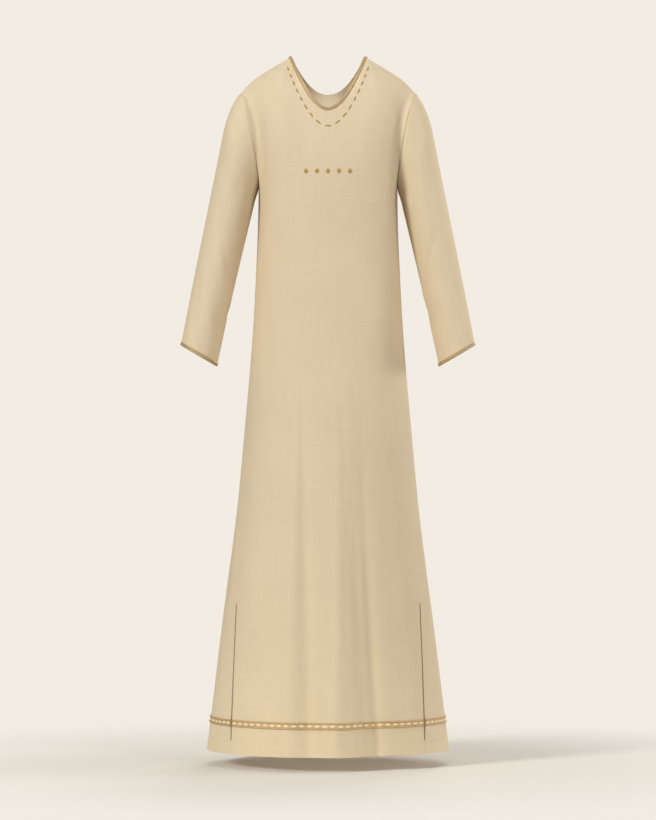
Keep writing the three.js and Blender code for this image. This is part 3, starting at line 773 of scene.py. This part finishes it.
def sweep(points, across, out, profile, closed=False):  # a section carried along a line
    profile = np.broadcast_to(profile, (len(points), *np.shape(profile)[-2:]))
    rings = points[:, None] + across[:, None] * profile[..., :1] + out[:, None] * profile[..., 1:]
    count, sides = rings.shape[:2]
    numbers = np.arange(count * sides).reshape(count, sides)
    loop = np.concatenate([numbers, numbers[:, :1]], 1)
    if closed:
        loop = np.concatenate([loop, loop[:1]])
    faces = gridFaces(loop).tolist()
    if not closed:
        faces += [numbers[0].tolist(), numbers[-1][::-1].tolist()]
    run, girth = runLength(points, 0), runLength(profile[0], 0)
    uv = np.stack(np.broadcast_arrays(girth[None, :], run[:, None]), -1)
    return rings.reshape(-1, 3), faces, uv.reshape(-1, 2)


def join(parts):  # several (points, faces, uv) as one
    points, faces, uv, count = [], [], [], 0
    for some, theirs, where in parts:
        points.append(some)
        uv.append(where)
        faces += [[i + count for i in face] for face in theirs]
        count += len(some)
    return np.concatenate(points), faces, np.concatenate(uv)


def trimPiece(name, parts, material, node=None):
    points, faces, uv = join(parts)
    return meshPiece(name, points, faces, material, uv, node)


def stitches(centres, along, out, length, width, height, rings=5, sides=8):  # plump stitches in a row
    lift = -np.cos(np.pi * np.arange(1, rings + 1) / (rings + 1))
    girth = (1 - np.abs(lift) ** 2.6) ** 0.5
    turn = 2 * np.pi * np.arange(sides) / sides
    girth = girth[:, None]
    shape = np.stack(np.broadcast_arrays(lift[:, None], girth * np.cos(turn), girth * np.sin(turn)), -1)
    shape = np.concatenate([[[-1, 0, 0]], shape.reshape(-1, 3), [[1, 0, 0]]])
    shape = shape * [length / 2, width / 2, height]
    across = unit(np.cross(out, along))
    axes = np.stack([along, across, out], 1)
    points = centres[:, None] + np.einsum("kj,nji->nki", shape, axes)
    last = rings * sides + 1
    ring = 1 + np.arange(rings * sides).reshape(rings, sides)
    loop = np.concatenate([ring, ring[:, :1]], 1)
    faces = [face[::-1] for face in gridFaces(loop).tolist()]
    faces += [[0, int(loop[0, k]), int(loop[0, k + 1])] for k in range(sides)]
    faces += [[last, int(loop[-1, k + 1]), int(loop[-1, k])] for k in range(sides)]
    uv = np.broadcast_to(shape[:, [1, 0]] + [0.0, length], (len(centres), len(shape), 2))
    every = [[i + n * len(shape) for i in face] for n in range(len(centres)) for face in faces]
    return points.reshape(-1, 3), every, uv.reshape(-1, 2)


def stitchLine(points, normals, pitch, lift=0.0, **size):  # a row of stitches along a line
    places, out = evenLine(pitch / 2, points, normals)
    middle = np.arange(1, len(places) - 1, 2)
    along = unit(places[middle + 1] - places[middle - 1])
    out = unit(out[middle])
    return stitches(places[middle] + out * lift, along, out, **size)


neckBinding = dict(
    # Section of a folded ribbon over the edge of the cloth: (down the cloth, outwards), all the way round.
    section=[(6.2, 0.15), (5.9, 1.05), (3.2, 1.5), (0.6, 1.35), (-0.8, 0.75), (-1.3, -0.5), (-0.9, -1.7),
             (0.5, -2.5), (3.0, -2.7), (5.6, -2.3), (5.8, -1.5), (3.0, -1.6), (0.4, -1.5), (-0.3, -0.6),
             (0.4, 0.2), (3.2, 0.25)],
    step=2.2,
    stitch=dict(length=2.3, width=0.55, height=0.3),
    stitchPitch=3.3,
    stitchInset=5.1,
    stitchLift=1.15,
)


def neckBindingPiece():
    grid = grids["front"]
    on = np.flatnonzero(grid["turn"] <= bodyShape["neckTurn"] + 0.01)
    edge, below = grid["points"][-1, on], grid["points"][-6, on]
    normals = grid["normals"][-3, on]
    points, normals, down = evenLine(neckBinding["step"], edge, normals, below - edge)
    along = unit(np.gradient(points, axis=0))
    down = unit(down - along * np.sum(down * along, -1, keepdims=True))
    out = unit(np.cross(along, down))
    out = out * np.sign(np.sum(out * normals, -1, keepdims=True))
    binding = trimPiece("neck_binding_ribbon", [sweep(points, down, out, neckBinding["section"])], goldSatin,
                        "neck_binding")
    line = points + down * neckBinding["stitchInset"] + out * neckBinding["stitchLift"]
    row = stitchLine(line, out, neckBinding["stitchPitch"], **neckBinding["stitch"])
    stitching = trimPiece("neck_binding_stitches", [row], goldThread)
    return [binding, stitching]


def cuffBindingPiece(side):
    grid = grids[f"sleeve_{side}"]
    edge, above = grid["points"][-1], grid["points"][-5]
    points, normals, up = evenLine(neckBinding["step"], *(np.concatenate([line, line[:1]]) for line in (
        edge, grid["normals"][-3], above - edge)))
    points, normals, up = points[:-1], normals[:-1], up[:-1]
    along = unit(np.roll(points, -1, 0) - np.roll(points, 1, 0))
    up = unit(up - along * np.sum(up * along, -1, keepdims=True))
    out = unit(normals - along * np.sum(normals * along, -1, keepdims=True)
               - up * np.sum(normals * up, -1, keepdims=True))
    ring = sweep(points, up, out, neckBinding["section"], closed=True)
    return trimPiece(f"cuff_binding_{side}_ribbon", [ring], goldSatin, f"cuff_binding_{side}")


hemBraid = dict(
    rise=62,  # from the hem to its middle
    tape=[(-5.7, 0.15), (-5.7, 0.8), (-3, 1.05), (3, 1.05), (5.7, 0.8), (5.7, 0.15)],
    cordOffset=5.3,
    cordRadius=(1.6, 1.2),  # across the braid, and out of it
    cordLift=1.25,
    strands=3,
    strandDepth=0.17,
    twist=13,  # length of one turn
    stitchPitch=16,
    stitchLift=0.95,
    stitch=dict(length=10.6, width=4.6, height=1.0, rings=9, sides=12),
    inset=2,
)


def twistedCord(points, normals, offset):
    across = acrossOf(points, normals)
    turn = 2 * np.pi * np.arange(12) / 12
    run = runLength(points, 0)[:, None]
    twisted = turn + 2 * np.pi * run / hemBraid["twist"]
    lobes = 1 + hemBraid["strandDepth"] * np.cos(hemBraid["strands"] * twisted)
    a, b = hemBraid["cordRadius"]
    x, y = offset + a * lobes * np.cos(turn), hemBraid["cordLift"] + b * lobes * np.sin(turn)
    return sweep(points, across, normals, np.stack([x, y], -1))


def braidPiece(node, panel, first, last):
    line = levelLine(panel, hemBraid["rise"], first, last, hemBraid["inset"])
    across = acrossOf(*line)
    band = sweep(line[0], across, line[1], hemBraid["tape"])
    tape = trimPiece(f"{node}_tape", [band], paleSatin, node)
    cords = trimPiece(f"{node}_cords", [twistedCord(*line, way * hemBraid["cordOffset"]) for way in (-1, 1)],
                      goldCord)
    row = stitchLine(*line, hemBraid["stitchPitch"], hemBraid["stitchLift"], **hemBraid["stitch"])
    silk = trimPiece(f"{node}_stitches", [row], creamSilk)
    return [tape, cords, silk]


ventPiping = dict(
    radius=0.6,
    apart=0.7,  # from the slit to the middle of each cord
    stopRise=26,  # above the hem
    lift=0.35,
    overBraid=1.9,  # how far it rises over the braid
    braidReach=8,
    meeting=4,  # steps from the top at which the two cords start to meet
    endSize=0.35,  # share of the radius and of the spread left at an end
    sides=8,
    step=1.6,
)


def ventPipingPiece(name, column):
    s, grid = ventPiping, grids["front"]
    bottom = int(np.searchsorted(grid["heights"], s["stopRise"] - bodyShape["length"]))
    rows = slice(bottom, grid["ventRow"] + 1)
    line, normals = evenLine(s["step"], grid["points"][rows, column], grid["normals"][rows, column])
    across = acrossOf(line, normals)
    toBraid = (line[:, 2] + bodyShape["length"] - hemBraid["rise"]) / s["braidReach"]
    lift = (s["lift"] + s["overBraid"] / (1 + toBraid ** 4))[:, None]
    place = np.arange(len(line))
    spread = np.clip(place[::-1] / s["meeting"], s["endSize"], 1)[:, None]
    turn = 2 * np.pi * np.arange(s["sides"]) / s["sides"]
    section = np.stack([s["radius"] * np.cos(turn), s["radius"] * np.sin(turn)], -1)
    section = section * np.minimum(1, s["endSize"] + np.minimum(place, place[::-1]))[:, None, None]
    parts = []
    for way in (-1, 1):
        cord = line + across * way * s["apart"] * spread + normals * lift
        parts.append(sweep(cord, across, normals, section))
    return trimPiece(name, parts, brownThread)


neckStitches = dict(  # a running stitch that follows the neck
    count=17,
    lowZ=-150.5,
    rise=121.5,
    halfWidth=81.5,
    power=1.9,
    stitch=dict(length=13.2, width=3.7, height=0.8, rings=9, sides=12),
)


frontGrid = grids["front"]["points"]
frontNumbers = np.arange(frontGrid.shape[0] * frontGrid.shape[1]).reshape(frontGrid.shape[:2])
frontTree = BVHTree.FromPolygons([Vector(point) for point in frontGrid.reshape(-1, 3)],
                                 gridFaces(frontNumbers).tolist())


def onFront(x, z):  # the front's outer surface, and its normal, straight behind a place before it
    hits = [frontTree.ray_cast(Vector((a, -2000, b)), Vector((0, 1, 0)))
            for a, b in zip(np.ravel(x), np.ravel(z))]
    return np.array([h[0][:] for h in hits]), np.array([h[1][:] for h in hits])


def neckStitchesPiece():
    s = neckStitches
    x = np.linspace(-s["halfWidth"], s["halfWidth"], 400)
    points, normals = onFront(x, s["lowZ"] + s["rise"] * np.abs(x / s["halfWidth"]) ** s["power"])
    length = np.sum(np.linalg.norm(np.diff(points, axis=0), axis=-1))
    pitch = length / (s["count"] - 1)
    places, out = evenLine(pitch / 8, points, normals)
    middle = np.arange(0, len(places), 8)
    ahead, behind = np.minimum(middle + 1, len(places) - 1), np.maximum(middle - 1, 0)
    along, out = unit(places[ahead] - places[behind]), unit(out[middle])
    return trimPiece("neck_embroidery", [stitches(places[middle], along, out, **s["stitch"])], goldThread)


chestStuds = dict(
    count=5,
    pitch=22.2,
    z=-243,
    halfWidth=4.8,
    halfHeight=5.4,
    corners=[(1, 0), (0.53, 0.53), (0, 1), (-0.53, 0.53), (-1, 0), (-0.53, -0.53), (0, -1), (0.53, -0.53)],
    # (share of the outline, height): a rim with a soft edge, then a facetted point
    levels=[(0.9, -0.3), (1.0, 0.0), (1.0, 0.75), (0.93, 1.0), (0.84, 1.0), (0.8, 0.8), (0.42, 1.95),
            (0.3, 2.15)],
    crispAngle=24,  # facets that meet at more than this stay crisp
    wornEdge=0.12,
)


def studPieces():
    s = chestStuds
    made = []
    for index in range(s["count"]):
        x = (index - (s["count"] - 1) / 2) * s["pitch"]
        points, normals = onFront([x], [s["z"]])
        out = Vector(normals[0])
        across = out.cross(Vector((0, 0, -1))).normalized()
        up = out.cross(across)
        rings = [Vector(points[0]) + across * (a * share * s["halfWidth"])
                 + up * (b * share * s["halfHeight"]) + out * height
                 for share, height in s["levels"] for a, b in s["corners"]]
        numbers = np.arange(len(rings)).reshape(-1, len(s["corners"]))
        faces = gridFaces(np.concatenate([numbers, numbers[:, :1]], 1)).tolist()
        faces += [numbers[0][::-1].tolist(), numbers[-1].tolist()]
        stud = meshPiece(f"stud_{index + 1}_brass", [list(p) for p in rings], faces, brushedBrass, None,
                         f"stud_{index + 1}")
        stud.data.set_sharp_from_angle(angle=math.radians(s["crispAngle"]))
        edge = stud.modifiers.new("worn edges", "BEVEL")
        edge.width, edge.segments = s["wornEdge"] * mm, 2
        edge.limit_method, edge.angle_limit = "ANGLE", math.radians(s["crispAngle"])
        made.append(stud)
    return made


plainStitch = dict(length=3.1, width=0.6, height=0.35)
plainPitch = 4.2
plainInset = 3  # from a seam or a vent to the first stitch


def hemStitchesPiece(panel):
    grid = grids[panel]
    stops = [0, *grid["vents"], len(grid["turn"]) - 1]
    rows = [stitchLine(*levelLine(panel, sewing["hemRise"], a, b, plainInset), plainPitch, **plainStitch)
            for a, b in zip(stops, stops[1:])]
    return trimPiece(f"hem_stitches_{panel}", rows, sandThread)


def backNeckStitchesPiece():
    grid = grids["back"]
    on = np.flatnonzero(grid["turn"] <= bodyShape["neckTurn"] + 0.01)
    row = stitchLine(grid["points"][-6, on], grid["normals"][-6, on], plainPitch, **plainStitch)
    return trimPiece("back_neck_stitches", [row], sandThread)


rightVent, leftVent = grids["front"]["vents"]
onTheFront = [*neckBindingPiece(), neckStitchesPiece(), *studPieces(), hemStitchesPiece("front")]
onTheFront += braidPiece("hem_braid_side_right", "front", 0, rightVent)
onTheFront += braidPiece("hem_braid_front", "front", rightVent, leftVent)
onTheFront += braidPiece("hem_braid_side_left", "front", leftVent, None)
onTheFront += [ventPipingPiece("vent_piping_right", rightVent), ventPipingPiece("vent_piping_left", leftVent)]
onTheBack = [*braidPiece("hem_braid_back", "back", 0, None), hemStitchesPiece("back"),
             backNeckStitchesPiece()]
cuffs = {side: cuffBindingPiece(side) for side in sleeves}
print("trims made")
